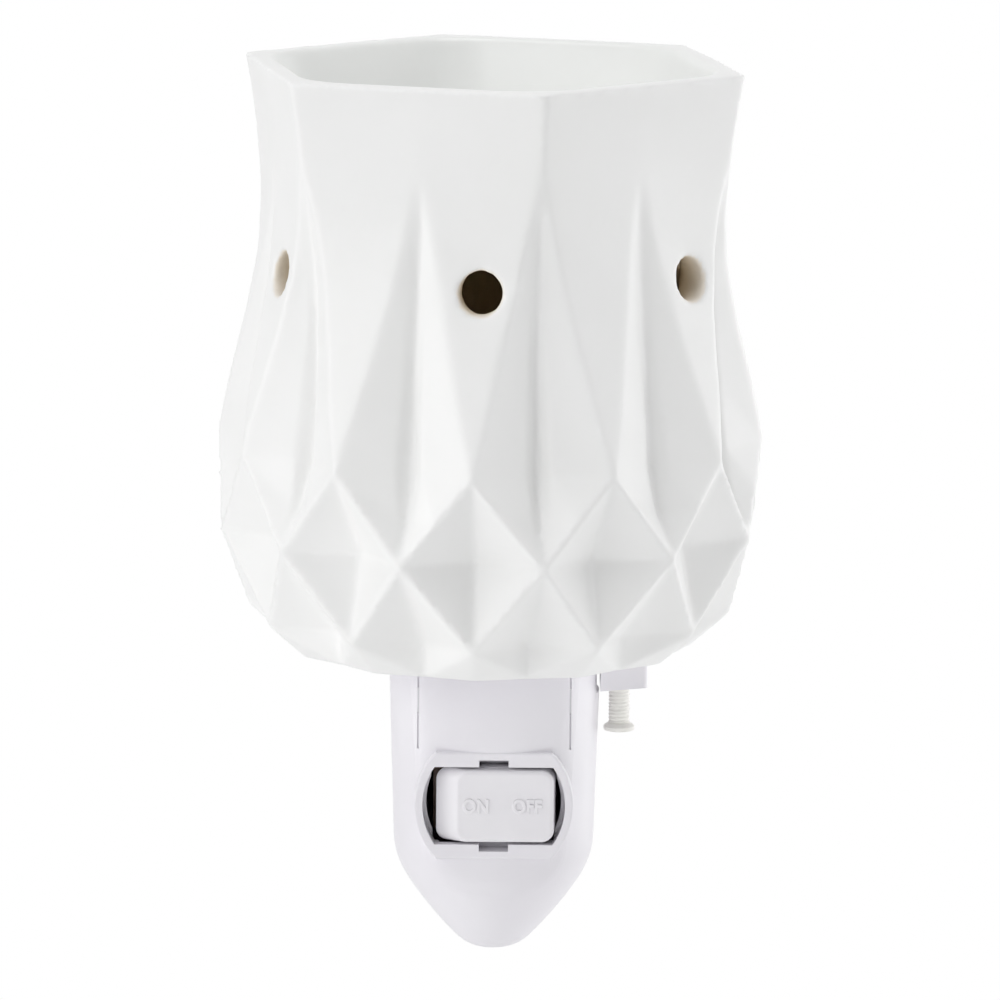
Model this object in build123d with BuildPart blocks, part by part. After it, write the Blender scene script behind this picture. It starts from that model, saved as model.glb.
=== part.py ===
from build123d import *
from math import cos, radians, sin, sqrt
import os

os.makedirs("parts", exist_ok=True)

# Plug-in wax melt warmer: a faceted ceramic shade with a six-sided melt bowl, standing on
# a switched lamp base that hangs on the wall by its turning plug.
# X runs to the right, Y into the wall and Z up. The origin is the middle of the plug's
# wall face, on the axis that the plug turns about.

# Driving dimensions in millimetres, angles in degrees
lamp_reach = 50.0
seat_height = 27.0
overrun = 2.0
fit_gap = 0.3
pin_gap = 0.06

shade_height = 96.2
shade_wall = 4.0
shade_floor = 4.5
rim_turn = 11.5
column_count = 12
rim_corner_radius = 43.2
flare_height = 90.5
flare_corner_radius = 42.0
tip_height = 83.2
tip_corner_radius = 41.0
tip_face_radius = 36.2
upper_row_radius = 45.0
upper_row_height = 34.7
row_spacing = 14.4
middle_row_radius = 45.0
middle_pocket_radius = 37.0
lower_row_radius = 40.0
lower_pocket_radius = 32.5
foot_ridge_radius = 33.2
foot_valley_radius = 31.6
rim_thickness = 3.4
bowl_depth = 22.0
bowl_corner_radius = 13.0
bowl_floor_radius = 27.0
bowl_floor_wall = 4.2
vent_count = 6
vent_radius = 3.55
vent_height = 64.7
floor_hole_radius = 16.0

shell_wall = 2.0
body_top_radius = 17.5
body_low_radius = 16.6
body_low_drop = 31.6
body_tip_drop = 51.5
front_depth = 14.3
front_curve_radius = 36.0
fold_radius = 6.0
arm_root_radius = 13.6
arm_end_radius = 14.8
arm_end_reach = 4.5

flange_overhang = 5.5
flange_thickness = 1.8
collar_height = 4.0
collar_wall = 2.0
shade_shift = 1.1
ear_length = 7.8
ear_front = 5.2
ear_back = 4.2
ear_slant = 3.0
ear_corner = 1.0
ear_drop = 7.15
nylon_screw_radius = 1.75
nylon_screw_reach = 3.2
nylon_screw_exposed = 6.2

switch_drop = 24.6
frame_radius = 13.1
frame_height = 17.9
frame_proud = 0.15
opening_radius = 11.7
opening_height = 13.0
rocker_length = 19.8
rocker_width = 12.3
rocker_face_length = 15.8
rocker_face_width = 11.9
rocker_face_shift = 2.0
rocker_face_proud = 0.7
rocker_height = 4.1
rocker_rise = 7.0
rocker_tilt = 7.5
seesaw_tilt = 4.5

bulb_radius = 11.0
bulb_top = 53.0
cap_radius = 5.9
cap_length = 17.0
cap_mouth = 8.0

blade_spacing = 12.7
blade_length = 17.5
blade_thickness = 1.5
line_blade_width = 6.3
neutral_blade_width = 7.9

# Shared places
column_step = 360 / column_count
columns = range(column_count)
collar_radius = floor_hole_radius - shade_shift - fit_gap
ear_inner = body_top_radius - pin_gap
ear_outer = ear_inner + ear_length
nylon_screw_offset = ear_inner + nylon_screw_reach


def shade_point(radius, turn, height):
    """A point about the shade's axis: turn goes from the front towards +X, height from the seat."""
    across = radius * sin(radians(turn)) - shade_shift
    forward = radius * cos(radians(turn))
    return Vector(across, -lamp_reach - forward, seat_height + height)


def lamp_plane(height):
    """A level plane on the lamp axis, at a height above the seat."""
    return Plane(origin=(0, -lamp_reach, seat_height + height))


def upright_plane():
    """The plane through the lamp axis that its round pieces are drawn in, Y up."""
    return Plane(origin=(0, -lamp_reach, seat_height), x_dir=(1, 0, 0), z_dir=(0, -1, 0))


def lamp_axis():
    """The upright axis of the lamp."""
    return Axis((0, -lamp_reach, 0), (0, 0, 1))


def front_plane(depth, height):
    """A plane facing the front, at a depth before the lamp axis and a height above the plug axis."""
    return Plane(origin=(0, -lamp_reach - depth, height), x_dir=(1, 0, 0), z_dir=(0, -1, 0))


def finish(piece, name):
    """Label one piece and write it to its own file."""
    piece.part.label = name
    export_step(piece.part, f"parts/{name}.step")


# Shade: rings of points, joined by three-cornered faces. Twelve grooves start at the tips and widen
# down to the upper row. Every other one lies under a corner of the rim, the rest under its sides.
side_bulge_share = 1.012
level_shares = (0, 0.19, 0.38, 0.59, 0.8, 1)
corner_ridge_shares = (tip_corner_radius / upper_row_radius, 0.88, 0.876, 0.911, 0.96, 1)
corner_valley_shares = (tip_corner_radius / upper_row_radius, 0.848, 0.816, 0.803, 0.807, 0.817)
face_ridge_shares = (tip_face_radius / upper_row_radius, 0.809, 0.842, 0.889, 0.951, 1)
face_valley_shares = (tip_face_radius / upper_row_radius, 0.784, 0.792, 0.81, 0.83, 0.846)
shoulder_turn_share = 0.2
shoulder_rise_share = 0.38
heel_along_share = 0.5
heel_valley_shares = (0.872, 0.885)
ridge_wall_share = 1.3

middle_row_height = upper_row_height - row_spacing
lower_row_height = middle_row_height - row_spacing
groove_length = tip_height - upper_row_height
chamber_height = shade_height - bowl_depth - bowl_floor_wall


def column_ring(radii, height):
    """Points on the grooves' turns, under the rim's corners and the middles of its sides by turns."""
    return [shade_point(radii[column % 2], rim_turn + column * column_step, height) for column in columns]


def between_ring(radius, height):
    """Points half a column on from the grooves."""
    return [shade_point(radius, rim_turn + (column + 1 / 2) * column_step, height) for column in columns]


def hexagon_ring(corner_radius, height):
    """Points of a six-sided outline whose sides bulge a little."""
    return column_ring((corner_radius, corner_radius * cos(radians(column_step)) * side_bulge_share), height)


def star_ring(valley_radius, ridge_radius, height):
    """Points on and between the grooves' turns by turns."""
    radii = (valley_radius, ridge_radius)
    return [shade_point(radii[step % 2], rim_turn + step * column_step / 2, height)
            for step in range(2 * column_count)]


def across_grooves(ridges, valleys, spread, height):
    """Five points across each groove: ridge, shoulder, valley, shoulder and ridge."""
    ring = []
    for column in columns:
        ridge = ridges[column % 2]
        valley = valleys[column % 2]
        shoulder = valley + (ridge - valley) * shoulder_rise_share
        across_shares = (-1, -shoulder_turn_share, 0, shoulder_turn_share, 1)
        for radius, share in zip((ridge, shoulder, valley, shoulder, ridge), across_shares):
            ring.append(shade_point(radius, rim_turn + (column + share * spread) * column_step, height))
    return ring


def groove_ring(level):
    """The grooves' points at one of the levels between the tips and the upper row."""
    along = level_shares[level]
    ridges = [upper_row_radius * shares[level] for shares in (corner_ridge_shares, face_ridge_shares)]
    valleys = [upper_row_radius * shares[level] for shares in (corner_valley_shares, face_valley_shares)]
    return across_grooves(ridges, valleys, along / 2, tip_height - along * groove_length)


def heel_ring():
    """The grooves' points below the upper row, where they narrow but are still deep."""
    spread = (1 - heel_along_share) / 2
    ridge = upper_row_radius * cos(radians(spread * column_step))
    valleys = [upper_row_radius * share for share in heel_valley_shares]
    return across_grooves((ridge, ridge), valleys, spread, upper_row_height - heel_along_share * row_spacing)


def band(upper, lower):
    """Corner triples all round between two rings of as many points; corners that meet drop out."""
    triples = []
    for here in range(len(upper)):
        after = (here + 1) % len(upper)
        triples.append((upper[here], upper[after], lower[after]))
        triples.append((upper[here], lower[after], lower[here]))
    return [(one, two, three) for one, two, three in triples if one != two and two != three and three != one]


def closed_form(triples, top, bottom):
    """The solid inside three-cornered faces, a top outline and a bottom outline."""
    outlines = [Wire.make_polygon(corners) for corners in triples + [top, bottom]]
    return Solid(Shell([Face(outline) for outline in outlines]))


def diamond_triples(grooves, foot):
    """Corner triples of the rows of diamonds, from the grooves' lower ends to the foot."""
    second = column_ring((middle_row_radius, middle_row_radius), middle_row_height)
    middle = between_ring(middle_pocket_radius, middle_row_height)
    third = between_ring(lower_row_radius, lower_row_height)
    lower = column_ring((lower_pocket_radius, lower_pocket_radius), lower_row_height)
    heel = heel_ring()
    triples = []
    for here in columns:
        after = (here + 1) % column_count
        across = grooves[5 * here:5 * here + 5]
        low = heel[5 * here:5 * here + 5]
        low_after = heel[5 * after]
        first = across[-1]
        for upper_pair, lower_pair in zip(zip(across, across[1:]), zip(low, low[1:])):
            triples += [(*upper_pair, lower_pair[1]), (upper_pair[0], lower_pair[1], lower_pair[0])]
        triples += [(left, right, second[here]) for left, right in zip(low, low[1:])]
        triples += [(first, middle[here], low[-1]), (low[-1], middle[here], second[here])]
        triples += [(first, low_after, middle[here]), (low_after, second[after], middle[here])]
        triples += [(second[here], middle[here], third[here]), (middle[here], second[after], third[here])]
        triples += [(second[here], lower[here], third[here - 1]), (second[here], third[here], lower[here])]
        triples += [(third[here - 1], lower[here], foot[2 * here])]
        triples += [(lower[here], third[here], foot[2 * here])]
        triples += [(third[here - 1], foot[2 * here], foot[2 * here - 1])]
        triples += [(third[here], foot[2 * here + 1], foot[2 * here])]
    return triples


rim = hexagon_ring(rim_corner_radius, shade_height)
flare = hexagon_ring(flare_corner_radius, flare_height)
tips = column_ring((tip_corner_radius, tip_face_radius), tip_height)
foot = star_ring(foot_valley_radius, foot_ridge_radius, 0)
levels = [groove_ring(level) for level in range(len(level_shares))]
outside_triples = band(rim, flare) + band(flare, tips) + diamond_triples(levels[-1], foot)
for upper, lower in zip(levels, levels[1:]):
    outside_triples += band(upper, lower)

thick_wall = shade_wall * ridge_wall_share
upper_valley_radius = upper_row_radius * corner_valley_shares[-1]
waist_valley_radius = upper_row_radius * corner_valley_shares[2]
waist_ridge_radius = upper_row_radius * corner_ridge_shares[2]
chamber_rings = [
    star_ring(waist_valley_radius - shade_wall, waist_ridge_radius - thick_wall, chamber_height),
    star_ring(upper_valley_radius - shade_wall, upper_row_radius - thick_wall, upper_row_height),
    star_ring(middle_row_radius - thick_wall, middle_pocket_radius - shade_wall, middle_row_height),
    star_ring(lower_pocket_radius - shade_wall, lower_row_radius - thick_wall, lower_row_height),
    star_ring(foot_valley_radius - shade_wall, foot_ridge_radius - shade_wall / 4, shade_floor),
]
chamber_triples = []
for upper, lower in zip(chamber_rings, chamber_rings[1:]):
    chamber_triples += band(upper, lower)

bowl_mouth_radius = rim_corner_radius - rim_thickness / cos(radians(column_step))
bowl_middle_share = 0.64
bowl_levels = [
    (0, bowl_mouth_radius),
    (bowl_depth / 2, bowl_floor_radius + (bowl_mouth_radius - bowl_floor_radius) * bowl_middle_share),
    (bowl_depth, bowl_floor_radius),
]
with BuildPart() as shade:
    add(closed_form(outside_triples, rim, foot))
    for depth, radius in bowl_levels:
        with BuildSketch(Plane(origin=shade_point(0, 0, shade_height - depth))) as level:
            RegularPolygon(radius, column_count // 2, rotation=rim_turn - 90)
            fillet(level.vertices(), bowl_corner_radius * radius / bowl_mouth_radius)
    loft(ruled=True, mode=Mode.SUBTRACT)
    add(closed_form(chamber_triples, chamber_rings[0], chamber_rings[-1]), mode=Mode.SUBTRACT)
    for vent in range(vent_count):
        turn = rim_turn - column_step / 2 + vent * 360 / vent_count
        with BuildSketch(Plane(origin=shade_point(upper_row_radius, turn, vent_height),
                               z_dir=shade_point(0, 0, 0) - shade_point(upper_row_radius, turn, 0))):
            Circle(vent_radius)
        extrude(amount=upper_row_radius / 2, mode=Mode.SUBTRACT)
    with BuildSketch(lamp_plane(-overrun)):
        with Locations((-shade_shift, 0)):
            Circle(floor_hole_radius)
        with Locations((nylon_screw_offset, 0)):
            Circle(nylon_screw_radius + 2 * fit_gap)
    extrude(amount=shade_floor + 2 * overrun, mode=Mode.SUBTRACT)
finish(shade, "shade")


# Housing form: a round body with a pointed lower end and a flatter, gently curved front
flank_shares = (0.81, 0.45)
heel_shares = (0.42, 0.85)


def body_form(inset, top_drop):
    """The base's round body, drawn in by the inset, from a drop below the seat downwards."""
    hull_drop = body_tip_drop - body_low_drop
    top = (body_top_radius - inset, -top_drop)
    low = (body_low_radius - inset, -body_low_drop)
    flank = (body_low_radius * flank_shares[0] - inset, -body_low_drop - hull_drop * flank_shares[1])
    heel = (body_low_radius * heel_shares[0] - inset, inset - body_low_drop - hull_drop * heel_shares[1])
    tip = (0, inset - body_tip_drop)
    with BuildPart() as form:
        with BuildSketch(upright_plane()):
            with BuildLine():
                Line((0, -top_drop), top)
                Line(top, low)
                Spline(low, flank, heel, tip, tangents=[(0, -1), (-1, 0)])
                Line(tip, (0, -top_drop))
            make_face()
        revolve(axis=lamp_axis())
        with BuildSketch(lamp_plane(-body_tip_drop)):
            with Locations((0, front_curve_radius - front_depth)):
                Circle(front_curve_radius - inset)
        extrude(amount=body_tip_drop + overrun, mode=Mode.INTERSECT)
        front = form.faces().filter_by(GeomType.CYLINDER).sort_by(Axis.Y)[0]
        fillet(front.edges() - form.edges().group_by(Axis.Z)[-1], fold_radius)
    return form.part


def turned_about_plug(outline):
    """A piece turned about the plug axis from (radius, reach) points, reach counted out from the wall."""
    with BuildPart() as turned:
        with BuildSketch(Plane(origin=(0, 0, 0), x_dir=(0, 0, 1), z_dir=(1, 0, 0))):
            with BuildLine():
                Polyline(*outline, close=True)
            make_face()
        revolve(axis=Axis.Y)
    return turned.part


def turned_about_lamp(outline):
    """A piece turned about the lamp axis from (radius, height above the seat) points."""
    with BuildPart() as turned:
        with BuildSketch(upright_plane()):
            with BuildLine():
                Polyline(*outline, close=True)
            make_face()
        revolve(axis=lamp_axis())
    return turned.part


def rods(places, radius, start, length):
    """Round rods along Y at (x, z) places: start is a depth before the lamp axis, length goes to the wall."""
    with BuildPart() as group:
        with BuildSketch(front_plane(start, 0)):
            with Locations(*places):
                Circle(radius)
        extrude(amount=-length)
    return group.part


def posts(places, radius, top, length):
    """Upright round posts at (x, y) places about the lamp axis, hanging down from a height above the seat."""
    with BuildPart() as group:
        with BuildSketch(lamp_plane(top)):
            with Locations(*places):
                Circle(radius)
        extrude(amount=-length)
    return group.part


def block(low, high):
    """A square-edged block between two corners."""
    with BuildPart() as solid:
        with Locations((Vector(*low) + Vector(*high)) / 2):
            Box(*(Vector(*high) - Vector(*low)))
    return solid.part


# Plug axis sizes, counted out from the wall
swivel_ring_face = 0.8
swivel_ring_radius = arm_end_radius + fit_gap
arm_bore_radius = arm_end_radius - shell_wall - 2 * fit_gap
plug_flange_thickness = 3.3
shoulder_thickness = 2.0
slip_thickness = 0.6
brush_gap = 0.2
brush_room = 2.8
board_thickness = 2.0
board_step = 1.0
arm_root_reach = lamp_reach - body_low_radius / 2
arm_cylinder_length = 8.0
plug_flange_radius = arm_bore_radius - 2 * fit_gap
plug_boss_radius = plug_flange_radius - shell_wall
plug_flange_face = arm_end_reach + fit_gap
shoulder_face = plug_flange_face + plug_flange_thickness + fit_gap
hub_radius = plug_boss_radius - 2 * fit_gap
hub_end = shoulder_face + shoulder_thickness + shell_wall
board_face = hub_end + brush_room

# Switch sizes, depths counted out from the lamp axis
switch_height = seat_height - switch_drop
frame_depth = front_depth + frame_proud
panel_back = frame_depth - shell_wall
rocker_pivot_depth = frame_depth + rocker_face_proud - rocker_rise
rocker_wall = 1.4
rocker_corner = 2.1
notch_width = 4.8
notch_height = 1.15
bracket_half_width = 5.5
bracket_thickness = 2.7
bracket_length = 4.0
bracket_end = rocker_pivot_depth - bracket_length
bracket_inner = opening_height / 2
bracket_outer = bracket_inner + bracket_thickness
bracket_middle = (bracket_inner + bracket_outer) / 2
rocker_pin_radius = 1.45
switch_screw_radius = 0.8
switch_screw_reach = 3.8
switch_screw_spots = [(switch_screw_reach, switch_height + bracket_middle),
                      (-switch_screw_reach, switch_height - bracket_middle)]

# Fastener places
head_thickness_share = 0.67
recess_length_share = 1.15
recess_width_share = 0.3
recess_depth_share = 0.4
case_screw_radius = 1.2
case_boss_radius = 2.6
case_head_radius = 1.95
case_head_seat = 7.0
case_screw_length = 12.0
case_screw_drop = 7.5
case_boss_inset = 6.5
low_boss_rise = 7.0
case_screw_reach = body_top_radius - case_boss_inset
low_screw_drop = body_tip_drop - low_boss_rise
case_screw_spots = [(case_screw_reach, seat_height - case_screw_drop),
                    (-case_screw_reach, seat_height - case_screw_drop), (0, seat_height - low_screw_drop)]
seat_screw_radius = 1.1
seat_boss_radius = 2.3
seat_boss_length = 11.0
seat_screw_offset = front_depth - shell_wall - seat_boss_radius * 3 / 4
seat_screw_spots = [(0, seat_screw_offset), (0, -seat_screw_offset)]
skirt_depth = 1.5
skirt_radius = body_top_radius - shell_wall - fit_gap / 2

# Housing halves
shell = body_form(0, flange_thickness)
hollow = body_form(shell_wall, flange_thickness - overrun)
with BuildPart() as case_bosses:
    add(rods(case_screw_spots, case_boss_radius, body_top_radius, 2 * body_top_radius))
    add(shell, mode=Mode.INTERSECT)
seat_bosses = posts(seat_screw_spots, seat_boss_radius,
                    -flange_thickness - 2 * fit_gap, seat_boss_length)
seat_rib = block((-seat_boss_radius / 2, seat_screw_offset - lamp_reach, seat_height - seat_boss_length),
                 (seat_boss_radius / 2, body_top_radius - shell_wall / 2 - lamp_reach,
                  seat_height - flange_thickness - skirt_depth - fit_gap))
ear_notch = block((ear_inner - 2 * fit_gap, -lamp_reach - ear_front - 2 * fit_gap,
                   seat_height - ear_drop - 2 * fit_gap),
                  (ear_outer, ear_back + 2 * fit_gap - lamp_reach, seat_height))
arm = turned_about_plug([(0, arm_end_reach), (arm_end_radius, arm_end_reach),
                         (arm_end_radius, arm_end_reach + arm_cylinder_length),
                         (arm_root_radius, arm_root_reach), (0, arm_root_reach)])
arm_bore = turned_about_plug([
    (0, 0), (arm_bore_radius, 0), (arm_bore_radius, shoulder_face),
    (hub_radius + fit_gap, shoulder_face), (hub_radius + fit_gap, shoulder_face + shoulder_thickness),
    (arm_bore_radius, shoulder_face + shoulder_thickness), (arm_bore_radius, board_face + board_thickness),
    (arm_bore_radius - board_step, board_face + board_thickness),
    (arm_bore_radius - board_step, lamp_reach - shell_wall), (0, lamp_reach - shell_wall)])
case_pilot_reach = case_screw_length - case_head_seat + overrun
case_pilots = rods(case_screw_spots, case_screw_radius + pin_gap, case_pilot_reach,
                   case_screw_length + 2 * overrun)
case_head_bores = rods(case_screw_spots, case_head_radius + fit_gap, -case_head_seat, body_top_radius)
seat_pilots = posts(seat_screw_spots, seat_screw_radius + pin_gap,
                    0, seat_boss_length)

with BuildPart() as housing_rear:
    add(shell)
    add(arm)
    add(hollow, mode=Mode.SUBTRACT)
    add(arm_bore, mode=Mode.SUBTRACT)
    add(case_bosses.part)
    add(seat_bosses)
    add(seat_rib)
    add(case_pilots, mode=Mode.SUBTRACT)
    add(case_head_bores, mode=Mode.SUBTRACT)
    add(seat_pilots, mode=Mode.SUBTRACT)
    add(ear_notch, mode=Mode.SUBTRACT)
    split(bisect_by=Plane(origin=(0, -lamp_reach, 0), z_dir=(0, 1, 0)), keep=Keep.TOP)
finish(housing_rear, "housing_rear")


# Fine upright lines that bound the front above the switch, where it meets the round body
fold_line_width = 0.3
fold_line_depth = 0.2
curve_centre = front_curve_radius - front_depth
fold_depth = (front_curve_radius ** 2 - body_top_radius ** 2 - curve_centre ** 2) / (2 * curve_centre)
fold_line_reach = sqrt(body_top_radius ** 2 - fold_depth ** 2) - fold_line_width
with BuildPart() as fold_lines:
    for side in (-1, 1):
        add(block((side * fold_line_reach - fold_line_width / 2, -lamp_reach - front_depth,
                   switch_height + frame_height / 2),
                  (side * fold_line_reach + fold_line_width / 2, -lamp_reach, seat_height)))
    add(body_form(fold_line_depth, 0), mode=Mode.SUBTRACT)


def frame_outline(radius, height):
    """A circle cut flat above and below, in the open sketch."""
    Circle(radius)
    Rectangle(2 * radius, height, mode=Mode.INTERSECT)


frame_edge = 0.4
with BuildPart() as switch_pad:
    with BuildSketch(front_plane(bracket_end, switch_height)):
        frame_outline(frame_radius, frame_height)
    extrude(amount=frame_depth - bracket_end)
    fillet(switch_pad.edges().group_by(Axis.Y)[0], frame_edge)
    with BuildSketch(front_plane(bracket_end, switch_height)):
        frame_outline(frame_radius - shell_wall, frame_height)
    extrude(amount=panel_back - bracket_end, mode=Mode.SUBTRACT)
    add(body_form(shell_wall, flange_thickness - overrun), mode=Mode.SUBTRACT)

with BuildPart() as pad_room:
    with BuildSketch(front_plane(bracket_end, switch_height)):
        frame_outline(frame_radius - shell_wall, opening_height + 2 * notch_height)
    extrude(amount=panel_back - bracket_end)

with BuildPart() as housing_front:
    add(shell)
    add(hollow, mode=Mode.SUBTRACT)
    add(fold_lines.part, mode=Mode.SUBTRACT)
    add(switch_pad.part)
    add(pad_room.part, mode=Mode.SUBTRACT)
    add(case_bosses.part)
    add(seat_bosses)
    for side in (-1, 1):
        with BuildSketch(front_plane(bracket_end, switch_height)):
            with Locations((0, side * bracket_middle)):
                Rectangle(2 * bracket_half_width, bracket_thickness)
        extrude(amount=panel_back - bracket_end + shell_wall / 2)
    with BuildSketch(front_plane(panel_back - shell_wall, switch_height)):
        frame_outline(opening_radius, opening_height)
        Rectangle(notch_width, opening_height + 2 * notch_height)
    extrude(amount=front_depth, mode=Mode.SUBTRACT)
    with BuildSketch(Plane(origin=(0, -lamp_reach - rocker_pivot_depth,
                                   switch_height - bracket_outer - overrun))):
        Circle(rocker_pin_radius + pin_gap)
    extrude(amount=2 * (bracket_outer + overrun), mode=Mode.SUBTRACT)
    add(rods(switch_screw_spots, switch_screw_radius + pin_gap, rocker_pivot_depth, rocker_pivot_depth),
        mode=Mode.SUBTRACT)
    add(case_pilots, mode=Mode.SUBTRACT)
    add(seat_pilots, mode=Mode.SUBTRACT)
    add(ear_notch, mode=Mode.SUBTRACT)
    split(bisect_by=Plane(origin=(0, -lamp_reach, 0), z_dir=(0, -1, 0)), keep=Keep.TOP)
finish(housing_front, "housing_front")


def head_thickness(head_radius):
    """How thick a pan head of this radius is."""
    return head_radius * head_thickness_share


def cross_recesses(plane, places, head_radius):
    """Driver recesses that sink into pan heads from a plane on their faces, which looks into them."""
    length = head_radius * recess_length_share
    width = head_radius * recess_width_share
    with BuildPart() as recesses:
        with BuildSketch(plane):
            with Locations(*places):
                Rectangle(length, width)
                Rectangle(width, length)
        extrude(amount=head_radius * recess_depth_share)
    return recesses.part


def screw_group(places, radius, head_radius, head_seat, length):
    """Pan-headed screws along Y that drive from the wall side towards the front."""
    head_face = head_seat + head_thickness(head_radius)
    with BuildPart() as group:
        add(rods(places, radius, length - head_seat, length))
        add(rods(places, head_radius, -head_seat, head_thickness(head_radius)))
        fillet(group.edges().group_by(Axis.Y)[-1], head_thickness(head_radius) / 2)
        add(cross_recesses(front_plane(-head_face, 0), places, head_radius), mode=Mode.SUBTRACT)
    return group


case_screws = screw_group(case_screw_spots, case_screw_radius, case_head_radius, case_head_seat,
                          case_screw_length)
finish(case_screws, "housing_screws")


# Shade seat: flange, collar, skirt and the ear that holds the nylon screw
socket_thread_room = 0.4
socket_shell_thickness = 0.4
socket_neck_wall = 1.05
socket_upper_wall = 1.75
socket_bore_radius = cap_radius + socket_thread_room + socket_shell_thickness + pin_gap
socket_neck_radius = socket_bore_radius + socket_neck_wall
socket_upper_radius = socket_bore_radius + socket_upper_wall
socket_flange_thickness = 1.5

with BuildPart() as seat_skirt:
    with BuildSketch(lamp_plane(-flange_thickness)):
        Circle(skirt_radius)
        Circle(seat_screw_offset + seat_boss_radius, mode=Mode.SUBTRACT)
    extrude(amount=-skirt_depth)
    add(body_form(shell_wall + fit_gap / 2, 0), mode=Mode.INTERSECT)

with BuildPart() as shade_seat:
    with BuildSketch(lamp_plane(-flange_thickness)):
        Circle(body_top_radius + flange_overhang)
    extrude(amount=flange_thickness)
    with BuildSketch(lamp_plane(0)):
        Circle(collar_radius)
        Circle(collar_radius - collar_wall, mode=Mode.SUBTRACT)
    extrude(amount=collar_height)
    fillet(shade_seat.edges().group_by(Axis.Z)[-1], collar_wall / 4)
    add(seat_skirt.part)
    with BuildSketch(lamp_plane(-ear_drop)) as ear_outline:
        with BuildLine():
            Polyline((ear_inner, -ear_front), (ear_outer, ear_slant - ear_front), (ear_outer, ear_back),
                     (ear_inner, ear_back), close=True)
        make_face()
        fillet(ear_outline.vertices().group_by(Axis.X)[-1], ear_corner)
    extrude(amount=ear_drop)
    with BuildSketch(lamp_plane(-ear_drop - overrun)):
        Circle(socket_neck_radius + fit_gap)
        with Locations((nylon_screw_offset, 0)):
            Circle(nylon_screw_radius + pin_gap)
        with Locations(*seat_screw_spots):
            Circle(seat_screw_radius + pin_gap)
    extrude(amount=ear_drop + 2 * overrun, mode=Mode.SUBTRACT)
finish(shade_seat, "shade_seat")

seat_head_radius = 1.9
seat_head_top = socket_flange_thickness + head_thickness(seat_head_radius)
seat_recess_plane = Plane(origin=(0, -lamp_reach, seat_height + seat_head_top), z_dir=(0, 0, -1))
with BuildPart() as seat_screws:
    add(posts(seat_screw_spots, seat_screw_radius, socket_flange_thickness, seat_boss_length))
    add(posts(seat_screw_spots, seat_head_radius, seat_head_top, head_thickness(seat_head_radius)))
    fillet(seat_screws.edges().group_by(Axis.Z)[-1], head_thickness(seat_head_radius) / 2)
    add(cross_recesses(seat_recess_plane, seat_screw_spots, seat_head_radius), mode=Mode.SUBTRACT)
finish(seat_screws, "seat_screws")

# Nylon screw, stored as the photograph shows it: turned out, its tip just under the shade
nylon_head_radius = 2.6
nylon_head_thickness = 1.3
nylon_flare_share = 0.55
nylon_slot = 0.7
nylon_tip = -fit_gap
nylon_bottom = -ear_drop - nylon_screw_exposed
nylon_plane = Plane(origin=(nylon_screw_offset, -lamp_reach, seat_height), x_dir=(1, 0, 0), z_dir=(0, -1, 0))
with BuildPart() as nylon_screw:
    with BuildSketch(nylon_plane):
        with BuildLine():
            Polyline((0, nylon_tip), (nylon_screw_radius - fit_gap, nylon_tip),
                     (nylon_screw_radius, nylon_tip - fit_gap), (nylon_screw_radius, nylon_bottom),
                     (nylon_head_radius, nylon_bottom - nylon_head_thickness * nylon_flare_share),
                     (nylon_head_radius, nylon_bottom - nylon_head_thickness),
                     (0, nylon_bottom - nylon_head_thickness), close=True)
        make_face()
    revolve(axis=Axis((nylon_screw_offset, -lamp_reach, 0), (0, 0, 1)))
    with BuildSketch(lamp_plane(nylon_bottom - nylon_head_thickness)):
        with Locations((nylon_screw_offset, 0)):
            Rectangle(3 * nylon_head_radius, nylon_slot)
    extrude(amount=nylon_slot, mode=Mode.SUBTRACT)
finish(nylon_screw, "nylon_screw")


# Rocker switch, stored switched off: its right end pressed in
def tilted_plane(depth, tilt):
    """A plane facing out of the front at a depth before the lamp axis, turned about the upright."""
    outward = Vector(sin(radians(tilt)), -cos(radians(tilt)), 0)
    return Plane(origin=(0, -lamp_reach - depth, switch_height), x_dir=outward.cross(Vector(0, 0, -1)),
                 z_dir=outward)


rocker_plane = tilted_plane(rocker_pivot_depth, rocker_tilt)
rocker_face_plane = front_plane(rocker_pivot_depth + rocker_rise, switch_height)
rocker_base = rocker_rise - rocker_height
rocker_lug_width = 4.4
rocker_lug_reach = 2.2
rocker_edge = 0.7
spring_tube_radius = 2.3
plunger_radius = 1.4
plunger_reach = 5.0
plunger_back = 2.0
spring_radius = 1.1
spring_wire = 0.2
spring_pitch = 0.9

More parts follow.
